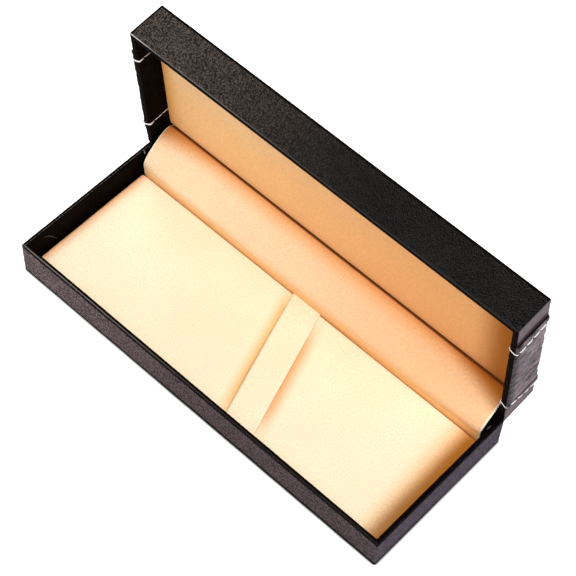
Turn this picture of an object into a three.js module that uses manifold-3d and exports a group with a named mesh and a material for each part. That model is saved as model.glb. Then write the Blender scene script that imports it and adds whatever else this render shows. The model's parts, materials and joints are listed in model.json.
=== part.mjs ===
// Pen storage box with a hinged lid, shown open, in millimetres with +Z up.
// The origin is the centre of the underside. X runs along the box and Y from front to back.
import * as THREE from 'three';
import { mergeVertices } from 'three/addons/utils/BufferGeometryUtils.js';
import Module from 'manifold-3d';

const wasm = await Module();
wasm.setup();

// Overall sizes
const boxLength = 175;
const boxWidth = 67.5;
const baseHeight = 16;
const lidHeight = 16;
const lidGap = 0.3;
const openAngle = THREE.MathUtils.degToRad(84.5);

// Board and leather
const boardThick = 1.2;
const leatherThick = 0.4;
const lidLeatherThick = 0.8;
const turnInThick = 0.3;
const glueLine = 0.05;
const cornerRadius = 0.6;
const edgeRadius = 0.4;
const rimEdgeRadius = 0.14;
const overrun = 1;

// Underside of the base
const sheetThick = 0.35;
const sheetInset = 1.5;
const marginWidth = 8;
const marginThick = 0.4;

// Insert that the pens lie on
const insertTop = 6;
const insertCardThick = 1;
const insertClothThick = 0.4;
const insertEndGap = 1.4;
const insertFrontGap = 0.75;
const insertRearGap = 8.45;
const insertEdgeRadius = 0.9;
const insertFoot = 0.3;

// Pen strap
const strapWidth = 12.9;
const strapThick = 0.5;
const strapFrontX = 19.1;
const strapRearX = 1.2;
const strapArch = 1.4;
const strapLift = 0.12;
const strapSteps = 14;

// Hinges
const hingeOffset = 45;
const axisInset = 0.4;
const axisRise = 1.2;
const hingeWidth = 22;
const leafThick = 0.5;
const leafReach = 7.2;
const leafGap = 0.1;
const pinRadius = 0.5;
const pinPlay = 0.05;
const pinOverhang = 0.3;
const lidKnuckleWidth = 11.6;
const knuckleGap = 0.2;
const camWidth = 5.2;
const camRadius = 1.15;
const camFlat = 1;
const notchPlay = 0.4;
const notchRise = 0.1;

// Detent springs
const springThick = 0.3;
const springEndGap = 2;
const springFootHeight = 4;
const springFootDrop = 7;
const tongueWidth = 4.4;
const tongueGap = 0.6;
const tongueBendRise = 0.8;
const tongueTouch = 0.1;
const tongueShoulderDrop = 0.3;
const tongueContactLength = 0.7;
const tongueTipLength = 0.8;
const tongueTipFlare = 0.4;

// Rivets
const rivetEdgeGap = 4;
const rivetDrop = 4.9;
const rivetRadius = 0.7;
const rivetHeadRadius = 1.3;
const rivetHeadThick = 0.45;
const rivetPlay = 0.08;

// Curved flap over the hinges, seen from the end with the lid open
const flapEndGap = 1.7;
const flapClothThick = 0.4;
const flapCardThick = 0.5;
const flapFootRise = 0.55;
const flapFootGap = 0.85;
const flapReach = 8;
const flapBulgeShares = [
  [-1, -1], [-0.994, -0.56], [-0.744, -0.156], [-0.344, 0.206], [0.131, 0.513], [0.506, 0.65],
  [0.794, 0.638],
];
const flapTuckGap = 0.2;
const flapTuckDepth = 3;
const tuckShares = [0, 0.5, 1];
const flapSteps = 40;

// Lid leather: front strip, padded centre band and rear strip
const frontStripWidth = 11.2;
const rearStripWidth = 13.1;
const skivedThick = 0.3;
const lapWidth = 4;
const paddingThick = 0.45;
const bandThick = 0.75;
const hemRise = 0.4;
const noseLength = 0.18;
const hemCrest = 0.75;
const stitchLine = 1.7;
const stitchDip = 0.12;
const fieldStart = 2.8;
const lapFall = 1;
const bandCornerRadius = 1.3;

// Lid lining
const liningDepth = 9.3;
const liningClothThick = 0.4;
const liningCardThick = 1;
const liningPadThick = 2.6;
const liningRearGap = 4.15;
const liningEdgeGap = 0.2;
const liningEdgeRadius = 0.7;
const skinPastLining = 1.5;

// Places worked out from the sizes above
const halfLength = boxLength / 2;
const halfWidth = boxWidth / 2;
const innerHalfX = halfLength - leatherThick - boardThick - turnInThick - 2 * glueLine;
const innerHalfY = halfWidth - leatherThick - boardThick - turnInThick - 2 * glueLine;
const boardHalfX = halfLength - leatherThick - glueLine;
const boardHalfY = halfWidth - leatherThick - glueLine;
const lidHalfX = boardHalfX + glueLine + lidLeatherThick;
const lidHalfY = boardHalfY + glueLine + lidLeatherThick;
const floorBottom = sheetThick + glueLine + marginThick + glueLine;
const floorTop = floorBottom + boardThick;
const lidRim = baseHeight + lidGap;
const lidTop = lidRim + lidHeight;
const lidBoardTop = lidTop - lidLeatherThick - glueLine;
const lidCeiling = lidBoardTop - boardThick;
const lidBoardRim = lidRim + leatherThick + glueLine;
const liningZ = lidRim + liningDepth;
const liningRearY = halfWidth - liningRearGap;
const insertRearY = halfWidth - insertRearGap;
const flapHalfX = innerHalfX - flapEndGap;
const axisY = halfWidth - axisInset;
const axisZ = baseHeight + axisRise;
const knuckleRadius = pinRadius + leafThick;
const frontSeamY = frontStripWidth - lidHalfY;
const rearSeamY = lidHalfY - rearStripWidth;
const leafOuterY = innerHalfY - leafGap;
const leafInnerY = leafOuterY - leafThick;
const arcSteps = 4;
const rivetSpacing = hingeWidth - 2 * rivetEdgeGap;
const springFootWidth = hingeWidth - 2 * springEndGap;
const roundSides = 24;
const cornerShare = 0.95;

// Colours
const leatherColour = 0x1b1817;
const boardColour = 0x8d8272;
const creamColour = 0xf3deb4;
const strapColour = 0xfaf1da;
const steelColour = 0xb9bcc0;
const foamColour = 0xd9d5c8;
const sheetColour = 0x151414;

function leather() {
  return new THREE.MeshStandardMaterial({ color: leatherColour, roughness: 0.55, metalness: 0 });
}

function board() {
  return new THREE.MeshStandardMaterial({ color: boardColour, roughness: 0.9, metalness: 0 });
}

function flannel() {
  return new THREE.MeshStandardMaterial({ color: creamColour, roughness: 1, metalness: 0 });
}

function elastic() {
  return new THREE.MeshStandardMaterial({ color: strapColour, roughness: 0.9, metalness: 0 });
}

function steel() {
  return new THREE.MeshStandardMaterial({ color: steelColour, roughness: 0.35, metalness: 1 });
}

function foam() {
  return new THREE.MeshStandardMaterial({ color: foamColour, roughness: 1, metalness: 0 });
}

function paper() {
  return new THREE.MeshStandardMaterial({ color: sheetColour, roughness: 0.8, metalness: 0 });
}

// Solids for the joins and cuts
function solid(geometry) {
  const bare = geometry.clone();
  bare.deleteAttribute('normal');
  bare.deleteAttribute('uv');
  const merged = mergeVertices(bare, 1e-5);
  return new wasm.Manifold(new wasm.Mesh({
    numProp: 3,
    vertProperties: new Float32Array(merged.attributes.position.array),
    triVerts: new Uint32Array(merged.index.array),
  }));
}

function geometryOf(manifold) {
  const mesh = manifold.getMesh();
  const geometry = new THREE.BufferGeometry();
  geometry.setAttribute('position', new THREE.BufferAttribute(mesh.vertProperties, 3));
  geometry.setIndex(new THREE.BufferAttribute(mesh.triVerts, 1));
  geometry.computeVertexNormals();
  return geometry;
}

function cut(body, ...tools) {
  return tools.reduce((left, tool) => left.subtract(tool), body);
}

function join(...bodies) {
  return bodies.reduce((whole, next) => whole.add(next));
}

function block(x0, x1, y0, y1, z0, z1) {
  const geometry = new THREE.BoxGeometry(x1 - x0, y1 - y0, z1 - z0);
  geometry.translate((x0 + x1) / 2, (y0 + y1) / 2, (z0 + z1) / 2);
  return solid(geometry);
}

function middleBlock(halfX, halfY, z0, z1) {
  return block(-halfX, halfX, -halfY, halfY, z0, z1);
}

function roundedRing(halfX, y0, y1, radius) {
  const x = halfX - radius;
  const centres = [[x, y0 + radius], [x, y1 - radius], [-x, y1 - radius], [-x, y0 + radius]];
  return centres.flatMap(([cx, cy], corner) => Array.from({ length: arcSteps + 1 }, (_, i) => {
    const turn = (Math.PI / 2) * (corner - 1 + i / arcSteps);
    return [cx + radius * Math.cos(turn), cy + radius * Math.sin(turn)];
  }));
}

// A block with rounded upright corners and rounded top and bottom edges, as a stack of rings
function softBlock(halfX, y0, y1, z0, z1, corner, edge) {
  const rings = [];
  for (let i = 0; i <= 2 * arcSteps + 1; i += 1) {
    const upper = i > arcSteps;
    const turn = (Math.PI / 2) * ((upper ? i - 1 : i) / arcSteps - 1);
    const inset = edge * (1 - Math.cos(turn));
    const z = (upper ? z1 - edge : z0 + edge) + edge * Math.sin(turn);
    const ring = roundedRing(halfX - inset, y0 + inset, y1 - inset, corner - inset * cornerShare);
    rings.push(ring.map(([x, y]) => [x, y, z]));
  }
  return stack(rings);
}

// Closes a stack of equal rings, drawn anticlockwise, into one body
function stack(rings, outline = rings[0]) {
  const count = rings[0].length;
  const last = (rings.length - 1) * count;
  const index = [];
  for (let s = 0; s < rings.length - 1; s += 1) {
    for (let i = 0; i < count; i += 1) {
      const a = s * count + i;
      const b = s * count + ((i + 1) % count);
      index.push(a, b, b + count, a, b + count, a + count);
    }
  }
  const flat = outline.map(([x, y]) => new THREE.Vector2(x, y));
  const caps = THREE.ShapeUtils.triangulateShape(flat, []);
  caps.forEach(([a, b, c]) => index.push(c, b, a, last + a, last + b, last + c));
  const geometry = new THREE.BufferGeometry();
  geometry.setAttribute('position', new THREE.Float32BufferAttribute(rings.flat(2), 3));
  geometry.setIndex(index);
  return solid(geometry);
}

// A shape drawn in Y and Z, run along X
function alongX(points, x0, x1) {
  const shape = new THREE.Shape(points.map(([y, z]) => new THREE.Vector2(y, z)));
  const geometry = new THREE.ExtrudeGeometry(shape, { depth: x1 - x0, bevelEnabled: false });
  const toX = new THREE.Matrix4().makeBasis(
    new THREE.Vector3(0, 1, 0), new THREE.Vector3(0, 0, 1), new THREE.Vector3(1, 0, 0),
  );
  geometry.applyMatrix4(toX);
  geometry.translate(x0, 0, 0);
  return solid(geometry);
}

function rodAlongX(radius, x0, x1, y, z) {
  const geometry = new THREE.CylinderGeometry(radius, radius, x1 - x0, roundSides);
  geometry.rotateZ(Math.PI / 2);
  geometry.translate((x0 + x1) / 2, y, z);
  return solid(geometry);
}

function rodAlongY(radius, y0, y1, x, z) {
  const geometry = new THREE.CylinderGeometry(radius, radius, y1 - y0, roundSides);
  geometry.translate(x, (y0 + y1) / 2, z);
  return solid(geometry);
}

// A strip of one thickness on the left side of a line in Y and Z
function strip(line, thick) {
  const back = line.map((point, i) => {
    const before = line[Math.max(i - 1, 0)];
    const after = line[Math.min(i + 1, line.length - 1)];
    const run = new THREE.Vector2(after[0] - before[0], after[1] - before[1]).normalize();
    return [point[0] + run.y * thick, point[1] - run.x * thick];
  });
  return [...line, ...back.reverse()];
}

function smoothLine(points, steps) {
  const curve = new THREE.SplineCurve(points.map(([y, z]) => new THREE.Vector2(y, z)));
  return curve.getSpacedPoints(steps).map((point) => [point.x, point.y]);
}

function part(name, manifold, material) {
  const mesh = new THREE.Mesh(geometryOf(manifold), material);
  mesh.name = name;
  return mesh;
}

// Places of the hinges and rivets
const hinges = [['left', -hingeOffset], ['right', hingeOffset]];
const rivetSides = [['outer', -1], ['inner', 1]];

function rivetX(centre, side) {
  return centre + side * Math.sign(centre) * -rivetSpacing / 2;
}

function rivetHoles(z) {
  const places = hinges.flatMap(([, centre]) => rivetSides.map(([, side]) => rivetX(centre, side)));
  const y0 = leafInnerY - overrun;
  return places.map((x) => rodAlongY(rivetRadius + rivetPlay, y0, halfWidth - leatherThick, x, z));
}

const baseRivetZ = axisZ - rivetDrop;
const lidRivetZ = axisZ + rivetDrop;

// Base: board tray, leather cover and underside sheet
function baseShell() {
  const outside = middleBlock(boardHalfX, boardHalfY, floorBottom, baseHeight - leatherThick - glueLine);
  const inside = middleBlock(boardHalfX - boardThick, boardHalfY - boardThick, floorTop, baseHeight);
  return part('base_shell', cut(outside, inside, ...rivetHoles(baseRivetZ)), board());
}

function baseCover() {
  const bottom = sheetThick + glueLine;
  const skinHalfX = innerHalfX + turnInThick;
  const skinHalfY = innerHalfY + turnInThick;
  const outside = softBlock(halfLength, -halfWidth, halfWidth, bottom, baseHeight, cornerRadius, edgeRadius);
  const shellSpace = middleBlock(
    boardHalfX + glueLine, boardHalfY + glueLine, bottom + marginThick, baseHeight - leatherThick,
  );
  const mouth = middleBlock(innerHalfX, innerHalfY, floorTop, baseHeight + overrun);
  const window = middleBlock(halfLength - marginWidth, halfWidth - marginWidth, 0, floorBottom);
  const skin = cut(
    middleBlock(skinHalfX, skinHalfY, floorTop + insertFoot, baseHeight - leatherThick / 2),
    middleBlock(innerHalfX, innerHalfY, floorTop, baseHeight),
  );
  const wrap = join(cut(outside, shellSpace, mouth, window), skin);
  const rim = softBlock(
    innerHalfX + rimEdgeRadius, -innerHalfY - rimEdgeRadius, innerHalfY + rimEdgeRadius,
    baseHeight - rimEdgeRadius, baseHeight + overrun, cornerRadius, rimEdgeRadius,
  );
  return part('base_cover', cut(wrap, rim, ...rivetHoles(baseRivetZ)), leather());
}

function bottomSheet() {
  const y = halfWidth - sheetInset;
  const ring = roundedRing(halfLength - sheetInset, -y, y, cornerRadius);
  const sheet = stack([0, sheetThick].map((z) => ring.map(([x, across]) => [x, across, z])));
  return part('base_bottom_sheet', sheet, paper());
}

// Insert: folded card platform with its flannel cover
const insertHalfX = innerHalfX - insertEndGap;
const insertFrontY = insertFrontGap - innerHalfY;
const insertBottom = floorTop + insertFoot;

function insertCover() {
  const grown = insertEdgeRadius + overrun;
  const outside = cut(
    softBlock(
      insertHalfX, insertFrontY, insertRearY, insertBottom - grown, insertTop,
      insertEdgeRadius, insertEdgeRadius,
    ),
    middleBlock(halfLength, halfWidth, insertBottom - 2 * grown, insertBottom),
  );
  const inside = block(
    insertClothThick - insertHalfX, insertHalfX - insertClothThick,
    insertFrontY + insertClothThick, insertRearY - insertClothThick,
    insertBottom - overrun, insertTop - insertClothThick,
  );
  return part('insert_cover', cut(outside, inside), flannel());
}

function insertPlatform() {
  const inset = insertClothThick + glueLine;
  const card = inset + insertCardThick;
  const outside = block(
    inset - insertHalfX, insertHalfX - inset, insertFrontY + inset, insertRearY - inset,
    floorTop + glueLine, insertTop - inset,
  );
  const inside = block(
    card - insertHalfX, insertHalfX - card, insertFrontY + card, insertRearY - card,
    floorTop - overrun, insertTop - card,
  );
  return part('insert_platform', cut(outside, inside), board());
}

// Strap: slants over the insert in a low arch and is tucked in at both edges
function penStrap() {
  const legGap = glueLine + strapThick;
  const frontY = insertFrontY - legGap;
  const rearY = insertRearY + legGap;
  const top = insertTop + strapLift;
  const shape = new THREE.Shape();
  shape.moveTo(frontY, insertBottom);
  shape.lineTo(frontY, top);
  for (let i = 0; i <= strapSteps; i += 1) {
    const share = i / strapSteps;
    const rise = strapThick + strapArch * Math.sin(Math.PI * share);
    shape.lineTo(frontY + strapThick / 2 + (rearY - frontY - strapThick) * share, top + rise);
  }
  shape.lineTo(rearY, top);
  shape.lineTo(rearY, insertBottom);
  shape.lineTo(rearY - strapThick, insertBottom);
  shape.lineTo(rearY - strapThick, top);
  for (let i = strapSteps; i >= 0; i -= 1) {
    const share = i / strapSteps;
    const rise = strapArch * Math.sin(Math.PI * share);
    shape.lineTo(frontY + strapThick + (rearY - frontY - 2 * strapThick) * share, top + rise);
  }
  shape.lineTo(frontY + strapThick, insertBottom);
  const slant = Math.atan2(strapRearX - strapFrontX, rearY - frontY);
  const spanX = strapWidth / Math.cos(slant);
  const geometry = new THREE.ExtrudeGeometry(shape, { depth: spanX, bevelEnabled: false });
  const place = new THREE.Matrix4().makeBasis(
    new THREE.Vector3(Math.tan(slant), 1, 0), new THREE.Vector3(0, 0, 1), new THREE.Vector3(1, 0, 0),
  );
  geometry.applyMatrix4(place);
  geometry.translate(strapFrontX - spanX / 2 - Math.tan(slant) * frontY, 0, 0);
  return part('pen_strap', solid(geometry), elastic());
}

// Hinges: two leaves on one pin, with a detent spring that presses on the flats of the lid knuckle
function knuckle(x0, x1) {
  return rodAlongX(knuckleRadius, x0, x1, axisY, axisZ);
}

function pinBore() {
  return rodAlongX(pinRadius + pinPlay, -hingeWidth, hingeWidth, axisY, axisZ);
}

function leafPlate(width, top, up) {
  const edge = axisZ + up * leafReach;
  const near = axisZ + up * top;
  return block(-width / 2, width / 2, leafInnerY, leafOuterY, Math.min(near, edge), Math.max(near, edge));
}

function leafTab(x0, x1, up) {
  const inner = axisZ + up * pinRadius;
  const outer = axisZ + up * knuckleRadius;
  return block(x0, x1, leafInnerY, axisY, Math.min(inner, outer), Math.max(inner, outer));
}

function baseLeaf(name) {
  const outerX = hingeWidth / 2;
  const innerX = lidKnuckleWidth / 2 + knuckleGap;
  const slotX = tongueWidth / 2 + tongueGap;
  const slotBottom = springTopZ - tongueGap;
  const plate = leafPlate(hingeWidth, pinRadius, -1);
  const corner = block(
    -innerX, innerX, leafInnerY - overrun, leafOuterY + overrun, baseHeight - edgeRadius, axisZ,
  );
  const slot = block(-slotX, slotX, leafInnerY - overrun, leafOuterY + overrun, slotBottom, axisZ);
  const sides = [[-outerX, -innerX], [innerX, outerX]].flatMap(([x0, x1]) => [
    leafTab(x0, x1, -1), knuckle(x0, x1),
  ]);
  const leaf = cut(join(plate, ...sides), pinBore(), corner, slot, ...leafHoles(baseRivetZ));
  return part(name, leaf, steel());
}

function camLobe() {
  const lobe = rodAlongX(camRadius, -camWidth / 2, camWidth / 2, axisY, axisZ);
  const flats = [0, openAngle].map((turn) => {
    const cutter = new THREE.BoxGeometry(2 * camWidth, 2 * camFlat, 4 * camRadius);
    cutter.translate(0, -2 * camFlat, 0);
    cutter.rotateX(turn);
    cutter.translate(0, axisY, axisZ);
    return solid(cutter);
  });
  return cut(lobe, ...flats);
}

function leafHoles(z) {
  const ends = [-1, 1].map((side) => (side * rivetSpacing) / 2);
  return ends.map((x) => rodAlongY(rivetRadius + rivetPlay, leafInnerY - overrun, halfWidth, x, z));
}

function lidLeaf(name) {
  const endX = lidKnuckleWidth / 2;
  const slotX = camWidth / 2 + knuckleGap;
  const plate = leafPlate(hingeWidth, pinRadius, 1);
  const tabs = [[-endX, -slotX], [slotX, endX]].map(([x0, x1]) => leafTab(x0, x1, 1));
  const slotTop = axisZ + knuckleRadius + tongueContactLength + tongueTipLength;
  const slot = block(-slotX, slotX, leafInnerY - overrun, leafOuterY + overrun, axisZ, slotTop);
  const barrel = join(knuckle(-endX, endX), camLobe());
  const leaf = cut(join(cut(plate, slot), ...tabs, barrel), pinBore(), ...leafHoles(lidRivetZ));
  return part(name, leaf, steel());
}

function hingePin(name) {
  const half = hingeWidth / 2 + pinOverhang;
  return part(name, rodAlongX(pinRadius, -half, half, axisY, axisZ), steel());
}

const springOuterY = leafInnerY - glueLine;
const springFootZ = axisZ - springFootDrop;
const springTopZ = springFootZ + springFootHeight;

function detentSpring(name) {
  const contactY = axisY - camFlat - tongueTouch;
  const shoulderZ = axisZ - tongueShoulderDrop;
  const foot = block(
    -springFootWidth / 2, springFootWidth / 2, springOuterY - springThick, springOuterY,
    springFootZ, springTopZ,
  );
  const line = [
    [springOuterY - springThick, springFootZ],
    [springOuterY - springThick, springTopZ + tongueBendRise],
    [contactY - springThick, shoulderZ],
    [contactY - springThick, shoulderZ + tongueContactLength],
    [contactY - springThick - tongueTipFlare, shoulderZ + tongueContactLength + tongueTipLength],
  ];
  const tongue = alongX(strip(line, springThick), -tongueWidth / 2, tongueWidth / 2);
  return part(name, cut(join(foot, tongue), ...leafHoles(baseRivetZ)), steel());
}

function rivet(name, x, z, seatY) {
  const half = rivetHeadThick / 2;
  const profile = [
    [0, seatY - rivetHeadThick], [rivetHeadRadius - half, seatY - rivetHeadThick],
    [rivetHeadRadius, seatY - half], [rivetHeadRadius, seatY], [rivetRadius, seatY],
    [rivetRadius, boardHalfY - glueLine], [0, boardHalfY - glueLine],
  ];
  const points = profile.map(([r, y]) => new THREE.Vector2(r, y));
  const geometry = new THREE.LatheGeometry(points, roundSides);
  geometry.translate(x, 0, z);
  return part(name, solid(geometry), steel());
}

// Flap: springy card with a flannel face, held behind the insert and behind the lid lining
function toOpen([y, z]) {
  const u = y - axisY;
  const v = z - axisZ;
  const c = Math.cos(openAngle);
  const s = Math.sin(openAngle);
  return [axisY + u * c + v * s, axisZ - u * s + v * c];
}

function flapFace() {
  const footY = insertRearY + flapFootGap;
  const tuckY = liningRearY + flapTuckGap;
  const footZ = floorTop + flapFootRise;
  const foot = [footZ, (footZ + insertTop) / 2, insertTop].map((z) => [footY, z]);
  const bulge = flapBulgeShares.map(([y, z]) => [axisY + y * flapReach, axisZ + z * flapReach]);
  const tuck = tuckShares.map((share) => toOpen([tuckY, liningZ + flapTuckDepth * share]));
  return smoothLine([...foot, ...bulge, ...tuck], flapSteps);
}

function flapCover() {
  const half = flapHalfX;
  return part('flap_cover', alongX(strip(flapFace(), flapClothThick), -half, half), flannel());
}

function flapCard() {
  const half = flapHalfX - flapClothThick;
  const face = strip(flapFace(), flapClothThick + glueLine).slice(flapSteps + 1).reverse();
  return part('flap_card', alongX(strip(face, flapCardThick), -half, half), board());
}

// Lid, drawn shut; the lid group turns it open
function lidNotches() {
  const half = hingeWidth / 2 + notchPlay;
  const top = axisZ + camRadius + notchRise;
  return hinges.map(([, x]) => block(
    x - half, x + half, innerHalfY - overrun, lidHalfY + overrun, baseHeight, top,
  ));
}

function lidShell() {
  const outside = middleBlock(boardHalfX, boardHalfY, lidBoardRim, lidBoardTop);
  const inside = middleBlock(boardHalfX - boardThick, boardHalfY - boardThick, lidRim, lidCeiling);
  const shell = cut(outside, inside, ...lidNotches(), ...rivetHoles(lidRivetZ));
  return part('lid_shell', shell, board());
}

function lidWrap() {
  const outside = softBlock(lidHalfX, -lidHalfY, lidHalfY, lidRim, lidTop, cornerRadius, edgeRadius);
  const shellSpace = middleBlock(
    boardHalfX + glueLine, boardHalfY + glueLine, lidRim + leatherThick, lidTop - lidLeatherThick,
  );
  const mouth = middleBlock(innerHalfX, innerHalfY, baseHeight, lidCeiling);
  const skin = cut(
    middleBlock(
      innerHalfX + turnInThick, innerHalfY + turnInThick, lidRim + leatherThick / 2,
      liningZ + skinPastLining,
    ),
    middleBlock(innerHalfX, innerHalfY, baseHeight, lidTop),
  );
  const rim = softBlock(
    innerHalfX + rimEdgeRadius, -innerHalfY - rimEdgeRadius, innerHalfY + rimEdgeRadius,
    lidRim - overrun, lidRim + rimEdgeRadius, cornerRadius, rimEdgeRadius,
  );
  return cut(join(cut(outside, shellSpace, mouth), skin), rim);
}

// Section of leather across the lid: up one end wall, over the top and down the other
function wrapSection(inner, outer) {
  const radius = Math.min(bandCornerRadius, outer);
  const faceX = boardHalfX + glueLine;
  const faceZ = lidTop - lidLeatherThick;
  const skinTop = liningZ + skinPastLining;
  const right = [
    [innerHalfX + turnInThick, skinTop], [innerHalfX, skinTop], [innerHalfX, lidRim],
    [faceX + outer - edgeRadius, lidRim], [faceX + outer, lidRim + edgeRadius],
  ];
  for (let i = 0; i <= arcSteps; i += 1) {
    const turn = (Math.PI / 2) * (i / arcSteps);
    right.push([
      faceX + outer - radius + radius * Math.cos(turn), faceZ + outer - radius + radius * Math.sin(turn),
    ]);
  }
  const back = [
    [faceX + inner, faceZ + inner], [faceX + inner, lidRim + leatherThick],
    [innerHalfX + turnInThick, lidRim + leatherThick],
  ];
  const mirror = (list) => list.map(([x, z]) => [-x, z]).reverse();
  return [...right, ...mirror(right), ...mirror(back), ...back];
}

function loft(stations) {
  const sections = stations.toReversed().map(([y, inner, outer]) => [y, wrapSection(inner, outer)]);
  return stack(sections.map(([y, section]) => section.map(([x, z]) => [x, y, z])), sections[0][1]);
}

// Heights over the board across a folded edge: nose, hem crest, stitch line, then the level field
function foldedEdge(y, inner, field) {
  const crest = field + hemRise;
  const middle = (inner + crest) / 2;
  return [
    [y, middle - noseLength, middle + noseLength],
    [y + noseLength, inner, crest - noseLength],
    [y + hemCrest, inner, crest],
    [y + stitchLine, inner, field - stitchDip + hemRise / 2],
    [y + fieldStart, inner, field],
  ];
}

const bandInner = paddingThick + glueLine;
const bandOuter = bandInner + bandThick;
const lapInner = skivedThick + 2 * glueLine;

function lidFrontStrip() {
  const lapEnd = frontSeamY + lapWidth;
  const front = cut(lidWrap(), block(-boxLength, boxLength, frontSeamY, boxWidth, 0, boxLength));
  const lap = loft([[frontSeamY - overrun, 0, skivedThick], [lapEnd, 0, skivedThick]]);
  const rimTrim = block(-boxLength, boxLength, frontSeamY, lapEnd + overrun, 0, lidBoardRim);
  const skinTrim = middleBlock(innerHalfX + turnInThick + glueLine, boxWidth, 0, lidCeiling);
  const onlyLap = cut(lap, rimTrim, cut(skinTrim, block(
    -boxLength, boxLength, -boxWidth, frontSeamY, 0, boxLength,
  )));
  return part('lid_front_strip', join(front, onlyLap), leather());
}

function lidCentreBand() {
  const frontY = frontSeamY + glueLine;
  const rearY = rearSeamY + lapWidth - hemCrest;
  const hem = foldedEdge(frontY, bandInner, bandOuter);
  const slope = [
    [rearSeamY - noseLength, bandInner, bandOuter],
    [rearSeamY, bandInner, bandOuter - noseLength],
  ];
  return part('lid_centre_band', cut(loft([...hem, ...slope]), block(
    -boxLength, boxLength, rearY, boxWidth, 0, boxLength,
  )), leather());
}

function bandPadding() {
  const y0 = frontSeamY + lapWidth + glueLine;
  const y1 = rearSeamY - hemCrest;
  const faceX = boardHalfX + 2 * glueLine;
  const faceZ = lidTop - lidLeatherThick + glueLine;
  const outside = block(
    glueLine - faceX - paddingThick, faceX + paddingThick - glueLine, y0, y1,
    lidBoardRim, faceZ + paddingThick - glueLine,
  );
  const inside = block(-faceX, faceX, y0 - overrun, y1 + overrun, 0, faceZ);
  return part('lid_band_padding', cut(outside, inside), foam());
}

function lidRearStrip() {
  const lapStart = rearSeamY + glueLine;
  const front = block(-boxLength, boxLength, -boxWidth, rearSeamY + fieldStart, 0, boxLength);
  const rear = cut(lidWrap(), front);
  const hem = foldedEdge(lapStart, lapInner, lidLeatherThick + lapInner);
  const fall = [[rearSeamY + fieldStart + lapFall, 0, lidLeatherThick]];
  const lap = loft([...hem, ...fall]);
  return part('lid_rear_strip', cut(join(rear, lap), ...lidNotches(), ...rivetHoles(lidRivetZ)), leather());
}

// Lining of the lid: card, foam and flannel
function liningCover() {
  const half = innerHalfX - liningEdgeGap;
  const frontY = liningEdgeGap - innerHalfY;
  const grown = liningEdgeRadius + overrun;
  const top = liningZ + liningClothThick + liningPadThick + liningCardThick;
  const outside = cut(
    softBlock(half, frontY, liningRearY, liningZ, top + grown, liningEdgeRadius, liningEdgeRadius),
    middleBlock(boxLength, boxWidth, top, top + 2 * grown),
  );
  const inside = block(
    liningClothThick - half, half - liningClothThick, frontY + liningClothThick,
    liningRearY - liningClothThick, liningZ + liningClothThick, top + overrun,
  );
  return part('lid_lining_cover', cut(outside, inside), flannel());
}

function liningLayer(name, z0, thick, material) {
  const inset = liningEdgeGap + liningClothThick + glueLine;
  const half = innerHalfX - inset;
  const rear = liningRearY - liningClothThick - glueLine;
  return part(name, block(-half, half, inset - innerHalfY, rear, z0, z0 + thick), material);
}

const group = new THREE.Group();
const base = new THREE.Group();
const lid = new THREE.Group();
const lidPlace = new THREE.Group();

base.add(baseShell(), baseCover(), bottomSheet(), insertPlatform(), insertCover(), penStrap());
base.add(flapCard(), flapCover());

lidPlace.add(lidShell(), lidFrontStrip(), lidCentreBand(), bandPadding(), lidRearStrip(), liningCover());
const padZ = liningZ + liningClothThick + glueLine;
lidPlace.add(liningLayer('lid_lining_foam', padZ, liningPadThick - glueLine, foam()));
const cardZ = padZ + liningPadThick;
lidPlace.add(liningLayer('lid_lining_card', cardZ, liningCardThick - glueLine, board()));

for (const [side, x] of hinges) {
  const fixed = [
    baseLeaf(`hinge_base_leaf_${side}`), hingePin(`hinge_pin_${side}`), detentSpring(`hinge_spring_${side}`),
  ];
  const moving = lidLeaf(`hinge_lid_leaf_${side}`);
  [...fixed, moving].forEach((mesh) => mesh.position.setX(x));
  base.add(...fixed);
  lidPlace.add(moving);
  for (const [place, along] of rivetSides) {
    const at = rivetX(x, along);
    const springSeat = springOuterY - springThick - glueLine;
    base.add(rivet(`base_rivet_${side}_${place}`, at, baseRivetZ, springSeat));
    lidPlace.add(rivet(`lid_rivet_${side}_${place}`, at, lidRivetZ, leafInnerY - glueLine));
  }
}

lidPlace.position.set(0, -axisY, -axisZ);
lid.add(lidPlace);
lid.position.set(0, axisY, axisZ);
lid.rotation.x = -openAngle;
group.add(base, lid);

export default group;
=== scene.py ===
import json
import math

import bmesh
import bpy
import numpy as np
from mathutils import Euler, Matrix

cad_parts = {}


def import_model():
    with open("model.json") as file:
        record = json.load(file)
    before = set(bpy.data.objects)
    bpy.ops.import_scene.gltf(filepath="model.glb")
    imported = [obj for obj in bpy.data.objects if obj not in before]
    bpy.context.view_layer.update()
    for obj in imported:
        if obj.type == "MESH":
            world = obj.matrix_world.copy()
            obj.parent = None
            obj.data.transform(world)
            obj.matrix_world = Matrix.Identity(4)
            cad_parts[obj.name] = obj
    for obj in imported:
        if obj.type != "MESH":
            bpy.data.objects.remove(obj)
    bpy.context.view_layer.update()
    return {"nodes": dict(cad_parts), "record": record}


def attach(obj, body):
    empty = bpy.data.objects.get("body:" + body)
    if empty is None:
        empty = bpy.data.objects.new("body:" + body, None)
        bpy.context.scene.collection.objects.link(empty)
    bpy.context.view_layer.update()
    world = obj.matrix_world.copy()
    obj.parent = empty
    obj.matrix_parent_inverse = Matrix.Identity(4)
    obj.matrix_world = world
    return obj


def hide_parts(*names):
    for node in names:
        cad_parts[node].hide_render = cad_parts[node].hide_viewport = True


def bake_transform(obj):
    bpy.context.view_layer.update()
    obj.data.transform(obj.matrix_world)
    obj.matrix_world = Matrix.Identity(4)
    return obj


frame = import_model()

# Sizes in millimetres, the same as in the CAD part
LENGTH, WIDTH, BASE_H, LID_H, RIM_GAP = 175.0, 67.5, 16.0, 16.0, 0.3
HALF_X, HALF_Y = LENGTH / 2, WIDTH / 2
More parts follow.
